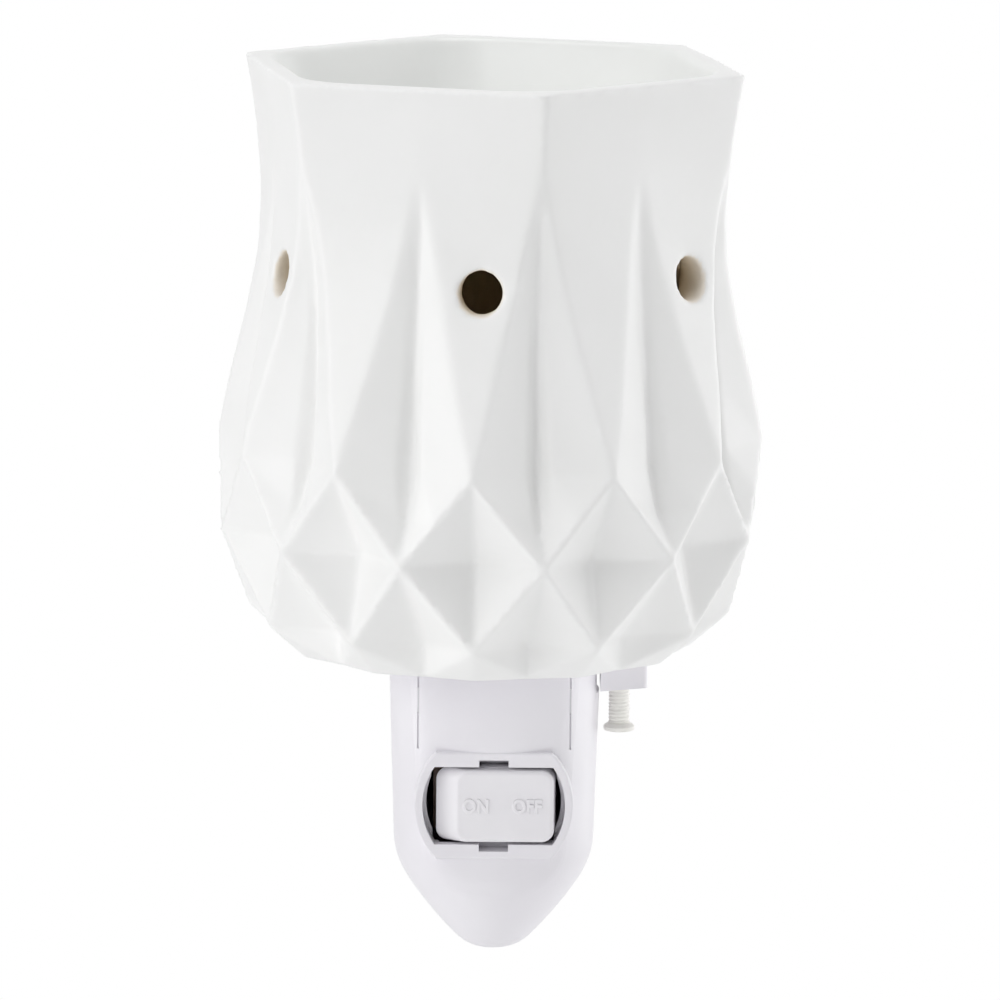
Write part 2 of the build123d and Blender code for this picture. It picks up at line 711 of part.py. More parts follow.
with BuildPart() as switch_rocker:
    with BuildSketch(rocker_plane.offset(rocker_base)):
        RectangleRounded(rocker_length, rocker_width, rocker_corner)
    with BuildSketch(rocker_face_plane):
        with Locations((rocker_face_shift, 0)):
            RectangleRounded(rocker_face_length, rocker_face_width, rocker_corner)
    loft()
    fillet(switch_rocker.faces().sort_by(Axis.Y)[0].edges(), rocker_edge)
    with BuildSketch(rocker_plane.offset(rocker_base)):
        RectangleRounded(rocker_length - 2 * rocker_wall, rocker_width - 2 * rocker_wall,
                         rocker_corner - rocker_wall / 2)
    with BuildSketch(rocker_face_plane.offset(-rocker_wall)):
        with Locations((rocker_face_shift, 0)):
            RectangleRounded(rocker_face_length - 2 * rocker_wall, rocker_face_width - 2 * rocker_wall,
                             rocker_corner - rocker_wall / 2)
    loft(mode=Mode.SUBTRACT)
    for side in (-1, 1):
        with BuildSketch(rocker_plane.offset(-rocker_lug_reach)):
            with Locations((0, side * (rocker_width - rocker_wall) / 2)):
                Rectangle(rocker_lug_width, rocker_wall)
        extrude(amount=rocker_lug_reach + rocker_base + rocker_wall)
        with BuildSketch(Plane(origin=rocker_plane.origin + Vector(0, 0, side * rocker_face_width / 2),
                               z_dir=(0, 0, side))):
            Circle(rocker_pin_radius)
        extrude(amount=bracket_outer - rocker_face_width / 2 - rocker_wall)
    with BuildSketch(rocker_plane):
        Circle(spring_tube_radius)
    extrude(amount=rocker_rise - rocker_wall)
    with BuildSketch(rocker_plane.offset(-overrun)):
        Circle(plunger_radius + 2 * pin_gap)
    extrude(amount=rocker_rise - rocker_wall + overrun, mode=Mode.SUBTRACT)
finish(switch_rocker, "switch_rocker")

with BuildPart() as switch_plunger:
    with BuildSketch(rocker_plane.offset(plunger_back)):
        Circle(plunger_radius)
    extrude(amount=-plunger_back - plunger_reach)
    fillet(switch_plunger.edges().group_by(Axis(rocker_plane.origin, rocker_plane.z_dir))[0],
           plunger_radius * 0.9)
finish(switch_plunger, "switch_plunger")

spring_length = rocker_rise - rocker_wall - plunger_back - 2 * spring_wire
spring_start = rocker_plane.offset(plunger_back + spring_wire)
with BuildPart() as switch_spring:
    with BuildLine() as spring_path:
        Helix(pitch=spring_pitch, height=spring_length, radius=spring_radius, center=spring_start.origin,
              direction=spring_start.z_dir)
    with BuildSketch(spring_path.line ^ 0):
        Circle(spring_wire)
    sweep(path=spring_path.line, is_frenet=True)
finish(switch_spring, "switch_spring")

# See-saw contact: it lies the other way from the rocker
seesaw_thickness = 0.6
seesaw_length = 15.0
seesaw_width = 5.0
seesaw_ridge_radius = 0.4
seesaw_depth = rocker_pivot_depth - plunger_reach - seesaw_thickness - 3 / 2 * pin_gap
terminal_thickness = 0.8
terminal_width = 4.6
terminal_length = 7.5
terminal_back = bracket_end - terminal_length
cup_wall = 1.0
cup_half_length = 10.0
cup_half_height = 6.0
cup_floor_drop = 2.3
cup_floor = 1.7
seesaw_swing = seesaw_length / 2 * sin(radians(seesaw_tilt))
end_pad_length = 3.0

with BuildPart() as switch_seesaw:
    with BuildSketch(tilted_plane(seesaw_depth, -seesaw_tilt)):
        Rectangle(seesaw_length, seesaw_width)
    extrude(amount=seesaw_thickness)
    fillet(switch_seesaw.edges().filter_by(Axis.Z), seesaw_thickness / 4)
    with BuildSketch(Plane(origin=(0, -lamp_reach - seesaw_depth, switch_height - seesaw_width / 2))):
        Circle(seesaw_ridge_radius)
    extrude(amount=seesaw_width)
finish(switch_seesaw, "switch_seesaw")

centre_edge = seesaw_depth - seesaw_ridge_radius - 2 * pin_gap
with BuildPart() as centre_terminal:
    with BuildSketch(front_plane(centre_edge, switch_height)):
        Rectangle(terminal_thickness, terminal_width)
    extrude(amount=terminal_back - centre_edge)
finish(centre_terminal, "centre_terminal")

end_pad_face = seesaw_depth - seesaw_swing - brush_gap
end_pad_middle = seesaw_length / 2 - end_pad_length / 4
with BuildPart() as end_terminal:
    with BuildSketch(front_plane(end_pad_face, switch_height)):
        with Locations((end_pad_middle, 0)):
            Rectangle(end_pad_length, terminal_width)
    extrude(amount=-terminal_thickness)
    with BuildSketch(front_plane(end_pad_face, switch_height)):
        with Locations((end_pad_middle + (end_pad_length - terminal_thickness) / 2, 0)):
            Rectangle(terminal_thickness, terminal_width)
    extrude(amount=terminal_back - end_pad_face)
finish(end_terminal, "end_terminal")

cup_floor_depth = seesaw_depth - cup_floor_drop
with BuildPart() as switch_base:
    with BuildSketch(front_plane(bracket_end, switch_height)):
        Rectangle(2 * cup_half_length, 2 * cup_half_height)
    extrude(amount=cup_floor_depth - cup_floor - bracket_end)
    with BuildSketch(front_plane(bracket_end, switch_height)):
        Rectangle(2 * bracket_half_width, 2 * bracket_outer)
    extrude(amount=-cup_wall)
    with BuildSketch(front_plane(bracket_end, switch_height)):
        Rectangle(2 * (cup_half_length - cup_wall), 2 * (cup_half_height - cup_wall))
    extrude(amount=cup_floor_depth - bracket_end, mode=Mode.SUBTRACT)
    add(rods(switch_screw_spots, switch_screw_radius + pin_gap, rocker_pivot_depth, 2 * rocker_pivot_depth),
        mode=Mode.SUBTRACT)
    add(centre_terminal.part, mode=Mode.SUBTRACT)
    add(end_terminal.part, mode=Mode.SUBTRACT)
finish(switch_base, "switch_base")

switch_screws = screw_group(switch_screw_spots, switch_screw_radius, 2 * switch_screw_radius,
                            cup_wall - bracket_end, rocker_pivot_depth - bracket_end)
finish(switch_screws, "switch_screws")

# Lamp socket
socket_floor_thickness = 1.2
socket_shell_radius = socket_bore_radius - pin_gap
tip_length = 0.6
insulator_length = 1.2
lamp_low = cap_mouth - cap_length - insulator_length - tip_length
contact_room = 2.0
socket_floor = lamp_low - contact_room
socket_low = socket_floor - socket_floor_thickness
socket_top = cap_mouth - 2 * fit_gap
tag_thickness = 0.5
tag_width = 3.0
tag_drop = 3.0
socket_flange_radius = collar_radius - collar_wall - fit_gap

with BuildPart() as socket_shell:
    add(turned_about_lamp([
        (socket_shell_radius - socket_shell_thickness, socket_floor + tag_thickness),
        (socket_shell_radius, socket_floor + tag_thickness), (socket_shell_radius, socket_top - pin_gap),
        (socket_shell_radius - socket_shell_thickness, socket_top - pin_gap)]))
    with BuildSketch(lamp_plane(socket_low - tag_drop)):
        with Locations((-socket_shell_radius + socket_shell_thickness / 2, 0)):
            Rectangle(socket_shell_thickness, tag_width)
    extrude(amount=tag_drop + socket_floor_thickness + 2 * tag_thickness)
finish(socket_shell, "socket_shell")

contact_rise = lamp_low - brush_gap
rivet_radius = 0.9
with BuildPart() as socket_contact:
    with BuildSketch(upright_plane()):
        with BuildLine():
            Polyline((rivet_radius * 2, socket_floor + tag_thickness / 2),
                     (-rivet_radius * 3, socket_floor + tag_thickness / 2),
                     (0, contact_rise - tag_thickness / 2), (rivet_radius * 2, contact_rise - tag_thickness))
        trace(line_width=tag_thickness)
    extrude(amount=tag_width / 2, both=True)
    with BuildSketch(lamp_plane(socket_floor)):
        Circle(rivet_radius)
    extrude(amount=-socket_floor_thickness)
    with BuildSketch(lamp_plane(socket_low)):
        with Locations((0, tag_drop)):
            Rectangle(tag_width, 2 * tag_drop + 2 * rivet_radius)
    extrude(amount=-tag_thickness)
finish(socket_contact, "socket_contact")

with BuildPart() as socket_body:
    add(turned_about_lamp([
        (0, socket_low), (socket_neck_radius, socket_low), (socket_neck_radius, 0), (socket_flange_radius, 0),
        (socket_flange_radius, socket_flange_thickness), (socket_upper_radius, socket_flange_thickness),
        (socket_upper_radius, socket_top), (socket_bore_radius, socket_top),
        (socket_bore_radius, socket_floor), (0, socket_floor)]))
    add(posts(seat_screw_spots, seat_screw_radius + pin_gap,
              socket_flange_thickness, socket_flange_thickness), mode=Mode.SUBTRACT)
    add(socket_shell.part, mode=Mode.SUBTRACT)
    add(socket_contact.part, mode=Mode.SUBTRACT)
finish(socket_body, "socket_body")

# Lamp: the screw threads are drawn plain
glass_thickness = 0.6
neck_radius = cap_radius - 2 * fit_gap
cap_thickness = 0.3
neck_height = cap_mouth + fit_gap
shoulder_height = 20.0
dome_start = bulb_top - bulb_radius


def glass_outline(inset):
    """The lamp glass from its foot to its crown, drawn in by the inset."""
    foot = (neck_radius - inset, cap_mouth - cap_radius / 2)
    neck = (neck_radius - inset, neck_height)
    shoulder = (bulb_radius - inset, shoulder_height)
    crown_start = (bulb_radius - inset, dome_start)
    crown = (0, bulb_top - inset)
    with BuildPart() as form:
        with BuildSketch(upright_plane()):
            with BuildLine():
                Line((0, foot[1]), foot)
                Line(foot, neck)
                Spline(neck, shoulder, tangents=[(0, 1), (0, 1)])
                Line(shoulder, crown_start)
                RadiusArc(crown_start, crown, -bulb_radius + inset)
                Line(crown, (0, foot[1]))
            make_face()
        revolve(axis=lamp_axis())
    return form.part


with BuildPart() as bulb_glass:
    add(glass_outline(0))
    add(glass_outline(glass_thickness), mode=Mode.SUBTRACT)
finish(bulb_glass, "bulb_glass")

cap_low = cap_mouth - cap_length
cap_side_low = cap_low + cap_radius / 3
with BuildPart() as bulb_cap:
    add(turned_about_lamp([
        (cap_radius - cap_thickness, cap_mouth), (cap_radius, cap_mouth), (cap_radius, cap_side_low),
        (cap_radius * 2 / 3, cap_low), (cap_radius * 2 / 3 - cap_thickness, cap_low),
        (cap_radius - cap_thickness, cap_side_low + cap_thickness)]))
finish(bulb_cap, "bulb_cap")

with BuildPart() as bulb_insulator:
    add(turned_about_lamp([
        (0, cap_low), (cap_radius * 2 / 3 - cap_thickness, cap_low),
        (cap_radius * 2 / 3 - cap_thickness, cap_low - fit_gap),
        (cap_radius / 3, cap_low - insulator_length), (0, cap_low - insulator_length)]))
finish(bulb_insulator, "bulb_insulator")

with BuildPart() as bulb_tip:
    add(turned_about_lamp([
        (0, cap_low - insulator_length), (cap_radius / 3, cap_low - insulator_length),
        (cap_radius / 4, lamp_low), (0, lamp_low)]))
finish(bulb_tip, "bulb_tip")

stem_top = 14.0
lead_spread = 6.0
lead_top = 34.0
lead_radius = 0.25
stem_foot = cap_mouth - cap_radius / 2
with BuildPart() as bulb_stem:
    add(turned_about_lamp([
        (0, stem_foot), (neck_radius - glass_thickness - pin_gap, stem_foot),
        (neck_radius / 3, neck_height), (neck_radius / 4, stem_top), (0, stem_top)]))
finish(bulb_stem, "bulb_stem")

with BuildPart() as bulb_filament:
    for side in (-1, 1):
        with BuildLine(upright_plane()) as lead:
            Polyline((side * lead_radius * 3, stem_top), (side * lead_radius * 3, stem_top + lead_spread / 2),
                     (side * lead_spread, lead_top))
        with BuildSketch(lead.line ^ 0):
            Circle(lead_radius)
        sweep(path=lead.line, transition=Transition.RIGHT)
    with BuildLine(upright_plane()) as filament:
        ThreePointArc((-lead_spread, lead_top - lead_radius), (0, lead_top - lead_spread / 2),
                      (lead_spread, lead_top - lead_radius))
    with BuildSketch(filament.line ^ 0):
        Circle(lead_radius)
    sweep(path=filament.line)
finish(bulb_filament, "bulb_filament")

# Plug, its wide blade to the left as seen from the front
blade_hole_reach = 11.9
blade_hole_radius = 1.6
slip_outer = hub_radius - 2 * fit_gap
slip_width = 2.6
slip_inner = slip_outer - slip_width
line_contact_radius = 3.0
line_blade_back = hub_end - shell_wall


def blade(offset, width, back):
    """A flat blade standing out of the wall face, with a hole and rounded end corners."""
    with BuildPart() as flat:
        with Locations((offset, (blade_length - back) / 2, 0)):
            Box(blade_thickness, blade_length + back, width)
        fillet(flat.edges().filter_by(Axis.X).group_by(Axis.Y)[-1], blade_thickness)
        with Locations(Location((offset, blade_hole_reach, 0), (0, 90, 0))):
            Cylinder(blade_hole_radius, 2 * blade_thickness, mode=Mode.SUBTRACT)
    return flat.part


with BuildPart() as neutral_blade:
    add(blade(-blade_spacing / 2, neutral_blade_width, hub_end))
    add(turned_about_plug([(slip_inner, hub_end), (slip_outer, hub_end),
                           (slip_outer, hub_end + slip_thickness), (slip_inner, hub_end + slip_thickness)]))
finish(neutral_blade, "neutral_blade")

with BuildPart() as line_blade:
    add(blade(blade_spacing / 2, line_blade_width, line_blade_back))
    add(block((0, -line_blade_back, -line_blade_width / 4),
              ((blade_spacing + blade_thickness) / 2, terminal_thickness - line_blade_back,
               line_blade_width / 4)))
    add(turned_about_plug([(0, line_blade_back - terminal_thickness),
                           (line_contact_radius, line_blade_back - terminal_thickness),
                           (line_contact_radius, hub_end + slip_thickness), (0, hub_end + slip_thickness)]))
finish(line_blade, "line_blade")

with BuildPart() as plug_body:
    add(turned_about_plug([
        (0, 0), (plug_boss_radius, 0), (plug_boss_radius, plug_flange_face),
        (plug_flange_radius, plug_flange_face),
        (plug_flange_radius, plug_flange_face + plug_flange_thickness),
        (hub_radius, plug_flange_face + plug_flange_thickness), (hub_radius, hub_end), (0, hub_end)]))
    add(neutral_blade.part, mode=Mode.SUBTRACT)
    add(line_blade.part, mode=Mode.SUBTRACT)
finish(plug_body, "plug_body")

with BuildPart() as swivel_ring:
    add(turned_about_plug([
        (plug_boss_radius + fit_gap, swivel_ring_face), (swivel_ring_radius - fit_gap, swivel_ring_face),
        (swivel_ring_radius, swivel_ring_face + fit_gap), (swivel_ring_radius, arm_end_reach),
        (plug_boss_radius + fit_gap, arm_end_reach)]))
finish(swivel_ring, "swivel_ring")

# Brushes and their board, in the arm behind the plug
brush_thickness = 0.4
brush_width = 2.6
brush_touch = hub_end + slip_thickness + brush_gap
brush_foot = board_face - brush_thickness / 2
slip_middle = (slip_inner + slip_outer) / 2
brush_rivet_radius = 0.8
rivet_stand = 0.7
line_rivet_height = -8.0
neutral_rivet_reach = 6.5


def brush(plane, width):
    """A bent leaf spring: X runs along it, Y is the reach; its foot lies on the board."""
    with BuildPart() as leaf:
        with BuildSketch(plane):
            with BuildLine():
                Polyline((0, brush_foot), (brush_width, brush_foot),
                         (3 * brush_width - brush_thickness, brush_touch + brush_thickness / 2),
                         (3 * brush_width + brush_thickness, brush_touch + brush_thickness))
            trace(line_width=brush_thickness)
        extrude(amount=width / 2, both=True)
    return leaf.part


with BuildPart() as line_brush:
    add(brush(Plane(origin=(0, 0, -3 * brush_width - brush_thickness), x_dir=(0, 0, 1), z_dir=(1, 0, 0)),
              brush_width))
    with BuildSketch(Plane(origin=(0, -board_face, line_rivet_height + brush_width / 4), z_dir=(0, -1, 0))):
        Circle(brush_rivet_radius)
    extrude(amount=board_thickness + rivet_stand)
finish(line_brush, "line_brush")

with BuildPart() as neutral_brush:
    add(brush(Plane(origin=(-3 * brush_width, 0, slip_middle), x_dir=(1, 0, 0), z_dir=(0, 0, -1)),
              slip_outer - slip_inner))
    with BuildSketch(Plane(origin=(-neutral_rivet_reach, -board_face, slip_middle), z_dir=(0, -1, 0))):
        Circle(brush_rivet_radius)
    extrude(amount=board_thickness + rivet_stand)
finish(neutral_brush, "neutral_brush")

with BuildPart() as brush_board:
    add(turned_about_plug([
        (0, board_face), (arm_bore_radius - pin_gap, board_face),
        (arm_bore_radius - pin_gap, board_face + board_thickness), (0, board_face + board_thickness)]))
    add(line_brush.part, mode=Mode.SUBTRACT)
    add(neutral_brush.part, mode=Mode.SUBTRACT)
finish(brush_board, "brush_board")

# Wires inside the housing
wire_radius = 0.8
wire_turn = 2.5
board_back = board_face + board_thickness + rivet_stand + pin_gap


def wire(points, turn):
    """An insulated wire along straight runs joined by arcs."""
    with BuildPart() as lead:
        with BuildLine() as route:
            FilletPolyline(*points, radius=turn)
        with BuildSketch(route.line ^ 0):
            Circle(wire_radius)
        sweep(path=route.line)
    return lead


terminal_reach = lamp_reach + terminal_back - pin_gap
end_leg = end_pad_middle + (end_pad_length - terminal_thickness) / 2
line_rivet = line_rivet_height + brush_width / 4
tag_height = seat_height + socket_low - tag_thickness - wire_radius
shell_tag_height = seat_height + socket_low - tag_drop + wire_radius
shell_tag_reach = lamp_reach - tag_width / 2 - pin_gap
contact_tag_reach = lamp_reach - tag_drop - rivet_radius - tag_drop
line_wire = wire([(0, -board_back, line_rivet), (0, -board_back - 3 * wire_turn, line_rivet),
                  (end_leg, -terminal_reach + 3 * wire_turn, switch_height),
                  (end_leg, -terminal_reach, switch_height)], wire_turn)
finish(line_wire, "line_wire")
neutral_wire = wire([(-neutral_rivet_reach, -board_back, slip_middle),
                     (-neutral_rivet_reach, -shell_tag_reach + 4 * wire_turn, slip_middle),
                     (-socket_shell_radius, -shell_tag_reach + 2 * wire_turn, shell_tag_height),
                     (-socket_shell_radius, -shell_tag_reach, shell_tag_height)], wire_turn)
finish(neutral_wire, "neutral_wire")
switched_wire = wire([(0, -terminal_reach, switch_height),
                      (0, -terminal_reach + 3 * wire_turn, switch_height),
                      (0, -terminal_reach + 3 * wire_turn, tag_height),
                      (0, -contact_tag_reach, tag_height)], wire_turn - pin_gap)
finish(switched_wire, "switched_wire")
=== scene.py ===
from math import cos, pi, radians, sin

import bmesh
import bpy
import numpy as np
from mathutils import Matrix, Vector


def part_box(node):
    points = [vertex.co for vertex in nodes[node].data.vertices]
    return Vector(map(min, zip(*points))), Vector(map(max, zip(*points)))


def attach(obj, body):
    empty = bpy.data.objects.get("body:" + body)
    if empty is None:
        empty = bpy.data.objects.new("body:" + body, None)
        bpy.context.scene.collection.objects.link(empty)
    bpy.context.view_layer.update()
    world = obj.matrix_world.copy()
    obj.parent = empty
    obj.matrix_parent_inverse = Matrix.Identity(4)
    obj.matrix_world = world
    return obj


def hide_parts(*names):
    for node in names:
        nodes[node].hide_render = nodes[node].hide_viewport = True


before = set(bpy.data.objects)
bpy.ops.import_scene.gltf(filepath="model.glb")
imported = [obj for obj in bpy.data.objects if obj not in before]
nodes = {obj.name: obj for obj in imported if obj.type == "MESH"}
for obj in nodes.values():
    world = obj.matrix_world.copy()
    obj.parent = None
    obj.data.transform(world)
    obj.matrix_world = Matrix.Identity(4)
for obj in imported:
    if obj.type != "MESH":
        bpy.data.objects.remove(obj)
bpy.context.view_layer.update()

# Places that the solids give, in metres
LAMP = Vector((0.0, -0.050, 0.0))
SHADE = LAMP - Vector((0.0011, 0.0, 0.0))
SEAT = 0.027
RIM = SEAT + 0.0962
BOWL_FLOOR = RIM - 0.022
VENT_COUNT = 6
VENT_HEIGHT = SEAT + 0.0647
VENT_TURN = 11.5 - 15.0
VENT_RADIUS = 0.00355
BASE_FRONT = LAMP.y - 0.012
ROCKER_FACE = LAMP.y - 0.01515
SWITCH_HEIGHT = 0.0024
FLOOR = Vector((0.0, LAMP.y, -0.40))
FLOOR_RADIUS = 1.6

# Along a vent's axis, the wall that it goes through lies beyond the first and its outer face beyond the second
VENT_WALL = 0.020
VENT_OUTSIDE = 0.035

# What the photo shows and the solids lack: vents bored aside, low and skewed, and the missing stretch of the
# fold lines on the base, as its distance to the side, its middle height and its reach up and down
VENT_SLIP = (0.00055, -0.00085)
VENT_SKEW = 0.12
# The missing stretch of the fold lines is painted on as a dark line of painted shade, standing in for the shade in
# their groove
FOLD_SHADE_LINE = (0.01248, 0.01937, 0.00215)
FOLD_HALF_WIDTH = 0.00015
FOLD_DEPTH = 0.006


# Materials
EVEN = (1.0, 1.0, 1.0)


def shader(name):
    material = bpy.data.materials.new(name)
    material.use_nodes = True
    tree = material.node_tree
    return material, tree, tree.nodes["Principled BSDF"]


def add_node(tree, kind, **values):
    node = tree.nodes.new(kind)
    for key, value in values.items():
        if key in node.inputs:
            node.inputs[key].default_value = value
        else:
            setattr(node, key, value)
    return node


def noise(tree, scale, detail=4.0, stretch=EVEN):
    where = add_node(tree, "ShaderNodeTexCoord")
    mapping = add_node(tree, "ShaderNodeMapping")
    mapping.inputs["Scale"].default_value = stretch
    tree.links.new(where.outputs["Object"], mapping.inputs["Vector"])
    field = add_node(tree, "ShaderNodeTexNoise", Scale=scale, Detail=detail, Roughness=0.55)
    tree.links.new(mapping.outputs["Vector"], field.inputs["Vector"])
    return field.outputs["Fac"]


def blend_colour(tree, factor, low, high):
    ramp = add_node(tree, "ShaderNodeValToRGB")
    ramp.color_ramp.elements[0].position = 0.35
    ramp.color_ramp.elements[1].position = 0.65
    ramp.color_ramp.elements[0].color = (*low, 1.0)
    ramp.color_ramp.elements[1].color = (*high, 1.0)
    tree.links.new(factor, ramp.inputs["Fac"])
    return ramp.outputs["Color"]


def spread(tree, factor, low, high):
    """A value between low and high that follows the middle part of a noise field."""
    ramp = add_node(tree, "ShaderNodeMapRange")
    ramp.inputs["From Min"].default_value = 0.3
    ramp.inputs["From Max"].default_value = 0.7
    ramp.inputs["To Min"].default_value = low
    ramp.inputs["To Max"].default_value = high
    tree.links.new(factor, ramp.inputs["Value"])
    return ramp.outputs["Result"]


def bumps(tree, bsdf, layers):
    """Lays bump layers, each a height field and its depth in metres, one over the other."""
    normal = None
    for factor, depth in layers:
        bump = add_node(tree, "ShaderNodeBump", Strength=1.0, Distance=depth)
        tree.links.new(factor, bump.inputs["Height"])
        if normal is not None:
            tree.links.new(normal, bump.inputs["Normal"])
        normal = bump.outputs["Normal"]
    tree.links.new(normal, bsdf.inputs["Normal"])


def surface(name, low, high, rough, patch=60.0, grain=900.0, grain_depth=0.00002, wave=0.0, wave_scale=25.0,
            metallic=0.0, stretch=EVEN):
    """A solid surface in tones from low to high, with patches, a fine grain and, on mouldings, a slow wave."""
    material, tree, bsdf = shader(name)
    tree.links.new(blend_colour(tree, noise(tree, patch), low, high), bsdf.inputs["Base Color"])
    tree.links.new(spread(tree, noise(tree, patch * 3, stretch=stretch), *rough), bsdf.inputs["Roughness"])
    bsdf.inputs["Metallic"].default_value = metallic
    layers = [(noise(tree, grain, 3.0, stretch), grain_depth)]
    if wave:
        layers.append((noise(tree, wave_scale, 1.0), wave))
    bumps(tree, bsdf, layers)
    return material


def mask(tree, name):
    """The value that the mesh carries on its points under this name."""
    own = add_node(tree, "ShaderNodeAttribute")
    own.attribute_name = name
    return own.outputs["Fac"]


def mixed(tree, factor, first, second, kind):
    """First where the factor is 0, second where it is 1: kind is RGBA or FLOAT."""
    mix = tree.nodes.new("ShaderNodeMix")
    mix.data_type = kind
    low, high, result = {"RGBA": (6, 7, 2), "FLOAT": (2, 3, 0)}[kind]
    tree.links.new(factor, mix.inputs[0])
    tree.links.new(first, mix.inputs[low])
    tree.links.new(second, mix.inputs[high])
    return mix.outputs[result]


def product(tree, first, second):
    times = add_node(tree, "ShaderNodeMath", operation="MULTIPLY")
    tree.links.new(first, times.inputs[0])
    tree.links.new(second, times.inputs[1])
    return times.outputs["Value"]


def ceramic():
    """Satin glaze outside, a smoother one in the bowl and bare clay inside, mixed by the masks on the points."""
    material, tree, bsdf = shader("ceramic")
    bare = mask(tree, "bare")
    bowl = mask(tree, "bowl")
    glaze = blend_colour(tree, noise(tree, 35), (0.872, 0.872, 0.864), (0.892, 0.891, 0.886))
    pool = blend_colour(tree, noise(tree, 30), (0.846, 0.854, 0.838), (0.866, 0.872, 0.858))
    clay = blend_colour(tree, noise(tree, 120), (0.90, 0.73, 0.50), (0.94, 0.79, 0.57))
    glazed = mixed(tree, bowl, glaze, pool, "RGBA")
    tree.links.new(mixed(tree, bare, glazed, clay, "RGBA"), bsdf.inputs["Base Color"])
    satin = spread(tree, noise(tree, 105), 0.36, 0.46)
    smooth = spread(tree, noise(tree, 90), 0.29, 0.34)
    dry = spread(tree, noise(tree, 300), 0.62, 0.80)
    glazed_rough = mixed(tree, bowl, satin, smooth, "FLOAT")
    tree.links.new(mixed(tree, bare, glazed_rough, dry, "FLOAT"), bsdf.inputs["Roughness"])
    bsdf.inputs["Specular IOR Level"].default_value = 0.4
    pores = product(tree, noise(tree, 2200, 3.0), bare)
    bumps(tree, bsdf, [(noise(tree, 700, 3.0), 0.000012), (noise(tree, 45, 1.0), 0.00010), (pores, 0.00004)])
    return material


def near(tree, value, middle, reach):
    """1 where the value lies within reach of the middle, else 0."""
    test = add_node(tree, "ShaderNodeMath", operation="COMPARE")
    test.inputs[1].default_value = middle
    test.inputs[2].default_value = reach
    tree.links.new(value, test.inputs[0])
    return test.outputs["Value"]


def fold_shade_plastic():
    """The base's plastic with the fold lines drawn on as painted shade, a dark line standing in for the shade in their
    groove, where the screw bosses inside fill their grooves.
    """
    across, middle, reach = FOLD_SHADE_LINE
    material = surface("fold_shade_plastic", **BASE_LOOK)
    tree = material.node_tree
    bsdf = tree.nodes["Principled BSDF"]
    where = add_node(tree, "ShaderNodeTexCoord")
    parts = add_node(tree, "ShaderNodeSeparateXYZ")
    tree.links.new(where.outputs["Object"], parts.inputs["Vector"])
    side = add_node(tree, "ShaderNodeMath", operation="ABSOLUTE")
    tree.links.new(parts.outputs["X"], side.inputs[0])
    line = product(tree, near(tree, side.outputs["Value"], across, FOLD_HALF_WIDTH),
                   near(tree, parts.outputs["Z"], middle, reach))
    line = product(tree, line, near(tree, parts.outputs["Y"], BASE_FRONT, FOLD_DEPTH))
    # Painted shade: the fold line's darker tone of the plastic, where the groove's shade would fall
    shade = add_node(tree, "ShaderNodeMix", data_type="RGBA")
    shade.inputs[7].default_value = (0.56, 0.55, 0.58, 1.0)
    tree.links.new(line, shade.inputs[0])
    tree.links.new(bsdf.inputs["Base Color"].links[0].from_socket, shade.inputs[6])
    tree.links.new(shade.outputs[2], bsdf.inputs["Base Color"])
    return material


BASE_LOOK = {"low": (0.806, 0.788, 0.828), "high": (0.828, 0.814, 0.848), "rough": (0.34, 0.44), "patch": 45,
             "grain": 2600, "grain_depth": 0.000012, "wave": 0.00003, "wave_scale": 60}
ceramic_material = ceramic()
front_plastic = fold_shade_plastic()
base_plastic = surface("base_plastic", **BASE_LOOK)
rocker_plastic = surface("rocker_plastic", (0.822, 0.806, 0.838), (0.842, 0.830, 0.856), (0.30, 0.40), patch=80,
                         grain=2600, grain_depth=0.000010)
plug_plastic = surface("plug_plastic", (0.780, 0.772, 0.800), (0.806, 0.798, 0.824), (0.38, 0.48), patch=70,
                       grain=2400, grain_depth=0.000014)
inner_plastic = surface("inner_plastic", (0.70, 0.69, 0.66), (0.76, 0.75, 0.72), (0.45, 0.60), patch=90,
                        grain=1800, grain_depth=0.00002)
brown_mould = surface("brown_mould", (0.20, 0.12, 0.09), (0.26, 0.16, 0.12), (0.38, 0.52), patch=90, grain=1500,
                      grain_depth=0.00002)
nylon = surface("nylon", (0.900, 0.888, 0.840), (0.925, 0.914, 0.872), (0.34, 0.44), patch=160, grain=1500,
                grain_depth=0.000015)
zinc_steel = surface("zinc_steel", (0.52, 0.52, 0.53), (0.66, 0.66, 0.66), (0.29, 0.40), patch=300, grain=1400,
                     grain_depth=0.00001, metallic=1.0)
blade_metal = surface("blade_metal", (0.70, 0.66, 0.56), (0.78, 0.74, 0.65), (0.29, 0.38), patch=180, grain=900,
                      grain_depth=0.000012, metallic=1.0, stretch=(1.0, 0.08, 1.0))
contact_brass = surface("contact_brass", (0.70, 0.50, 0.20), (0.80, 0.62, 0.30), (0.29, 0.36), patch=200,
                        grain=1200, grain_depth=0.00001, metallic=1.0)
socket_mould = surface("socket_mould", (0.72, 0.70, 0.64), (0.78, 0.76, 0.70), (0.42, 0.55), patch=80, grain=1600,
                       grain_depth=0.00002)
lamp_cap_metal = surface("lamp_cap_metal", (0.64, 0.58, 0.46), (0.76, 0.70, 0.58), (0.29, 0.38), patch=180,
                         grain=1200, grain_depth=0.00001, metallic=1.0)
black_glass = surface("black_glass", (0.02, 0.02, 0.025), (0.04, 0.04, 0.05), (0.10, 0.18), patch=200)
solder = surface("solder", (0.46, 0.46, 0.47), (0.62, 0.62, 0.62), (0.32, 0.50), patch=700, grain=2500,
                 grain_depth=0.00004, metallic=1.0)
tungsten = surface("tungsten", (0.22, 0.22, 0.23), (0.34, 0.34, 0.35), (0.30, 0.45), patch=900, metallic=1.0)
black_sleeve = surface("black_sleeve", (0.018, 0.018, 0.020), (0.035, 0.035, 0.038), (0.38, 0.52), patch=200)
white_sleeve = surface("white_sleeve", (0.72, 0.71, 0.69), (0.80, 0.79, 0.77), (0.38, 0.52), patch=200)


